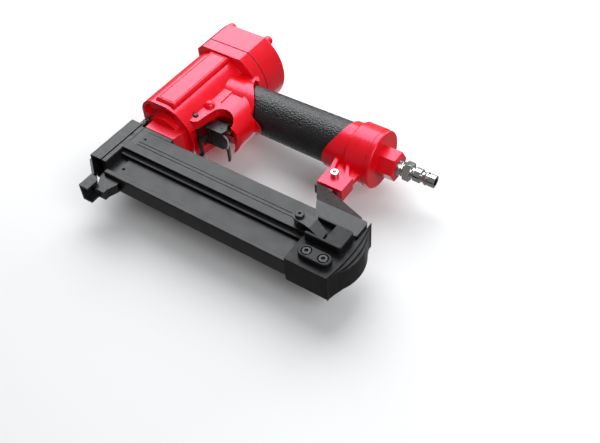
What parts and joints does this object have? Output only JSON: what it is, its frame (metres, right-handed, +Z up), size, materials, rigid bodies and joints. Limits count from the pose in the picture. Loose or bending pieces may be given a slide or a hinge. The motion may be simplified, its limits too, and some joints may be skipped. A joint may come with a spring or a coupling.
{
  "type": "pneumatic brad nailer and stapler",
  "caption": "Hand-held pneumatic brad nailer: cast gun body with a flat-sided cap, soft grip, air plug, trigger, contact safety, and a magazine that slides open to the rear.",
  "frame": {"origin": "driver axis at the level of the nose tip", "axes": "+Z up the barrel to the cap, +X back along the handle to the air plug, +Y to the tool's right side"},
  "size_m": [0.2464, 0.066, 0.221],
  "materials": {
    "red_paint": "glossy bright red enamel on die-cast aluminium",
    "black_anodised": "satin black anodised extrusion",
    "black_plastic": "satin moulded black nylon",
    "black_steel": "satin black oxide steel",
    "bright_steel": "bright zinc plated steel",
    "blade_steel": "ground steel",
    "spring_steel": "drawn wire",
    "chrome": "bright plated",
    "grip_rubber": "soft black grip with a leathery grain",
    "seal_rubber": "smooth nitrile",
    "gasket": "fibre gasket",
    "bare_aluminium": "turned",
    "brass": "turned"
  },
  "bodies": {
    "gun": {"gun_body": "red_paint", "cap_gasket": "gasket", "cylinder_cap": "red_paint", "cap_bolts": "red_paint", "deflector_screw": "black_steel", "cylinder_liner": "bare_aluminium", "liner_seals": "seal_rubber", "bumper": "seal_rubber", "grip_sleeve": "grip_rubber", "handle_end_cap": "red_paint", "end_cap_seal": "seal_rubber", "air_plug": "chrome", "trigger_pin": "black_steel", "trigger_valve_body": "brass", "trigger_valve_seals": "seal_rubber", "driver_guide": "black_steel", "guide_screws": "black_steel", "nose_front_plate": "black_steel", "nose_screws": "black_steel", "fixed_magazine": "black_anodised", "magazine_pins": "black_steel", "magazine_bracket": "black_steel", "bracket_screw": "bright_steel", "latch_screw": "black_steel", "head_valve_spring": "spring_steel", "trigger_valve_spring": "spring_steel", "safety_springs": "spring_steel", "latch_spring": "spring_steel"},
    "driver": {"piston": "bare_aluminium", "piston_ring": "seal_rubber", "driver_blade": "blade_steel", "driver_pin": "bright_steel"},
    "head_valve": {"head_valve": "bare_aluminium", "head_valve_ring": "seal_rubber"},
    "deflector": {"exhaust_deflector": "red_paint"},
    "trigger": {"trigger": "black_steel", "safety_lever_pin": "black_steel"},
    "safety_lever": {"safety_lever": "black_steel"},
    "valve_stem": {"trigger_valve_stem": "brass"},
    "contact_safety": {"contact_safety": "black_steel", "safety_arm": "black_steel", "safety_rivets": "bright_steel"},
    "magazine_slide": {"movable_magazine": "black_anodised", "tail_block": "black_plastic", "tail_cover": "black_plastic", "tail_screws": "black_steel", "pusher_rod": "bright_steel", "pusher_spring": "spring_steel"},
    "pusher": {"pusher": "bright_steel"},
    "latch": {"latch_lever": "black_steel"}
  },
  "joints": [
    {"name": "driver_stroke", "type": "slide", "parent": "gun", "child": "driver", "axis": [0, 0, -1], "range_m": [0, 0.0679]},
    {"name": "head_valve_lift", "type": "slide", "parent": "gun", "child": "head_valve", "axis": [0, 0, 1], "range_m": [0, 0.004], "deforming": ["head_valve_spring"]},
    {"name": "deflector_turn", "type": "hinge", "parent": "gun", "child": "deflector", "pos_m": [0, 0, 0.203], "axis": [0, 0, 1], "continuous": true},
    {"name": "trigger_pull", "type": "hinge", "parent": "gun", "child": "trigger", "pos_m": [0.0215, 0, 0.098], "axis": [0, -1, 0], "range_deg": [0, 8]},
    {"name": "valve_stem_lift", "type": "slide", "parent": "gun", "child": "valve_stem", "axis": [0, 0, 1], "range_m": [0, 0.0026], "deforming": ["trigger_valve_spring"]},
    {"name": "contact_press", "type": "slide", "parent": "gun", "child": "contact_safety", "axis": [0, 0, 1], "range_m": [0, 0.006], "deforming": ["safety_springs"]},
    {"name": "safety_lever_lift", "type": "hinge", "parent": "trigger", "child": "safety_lever", "pos_m": [0.0425, 0, 0.105], "axis": [0, 1, 0], "range_deg": [0, 22.5]},
    {"name": "magazine_open", "type": "slide", "parent": "gun", "child": "magazine_slide", "axis": [1, 0, 0], "range_m": [0, 0.14]},
    {"name": "pusher_travel", "type": "slide", "parent": "magazine_slide", "child": "pusher", "axis": [1, 0, 0], "range_m": [0, 0.118], "deforming": ["pusher_spring"]},
    {"name": "latch_lift", "type": "hinge", "parent": "gun", "child": "latch", "pos_m": [0.159, 0, 0.049], "axis": [0, -1, 0], "range_deg": [0, 6], "deforming": ["latch_spring"]}
  ],
  "couplings": [
    {"joint": "valve_stem_lift", "follows": "trigger_pull", "m_per_rad": 0.0179},
    {"joint": "safety_lever_lift", "follows": "contact_press", "rad_per_m": 64}
  ]
}
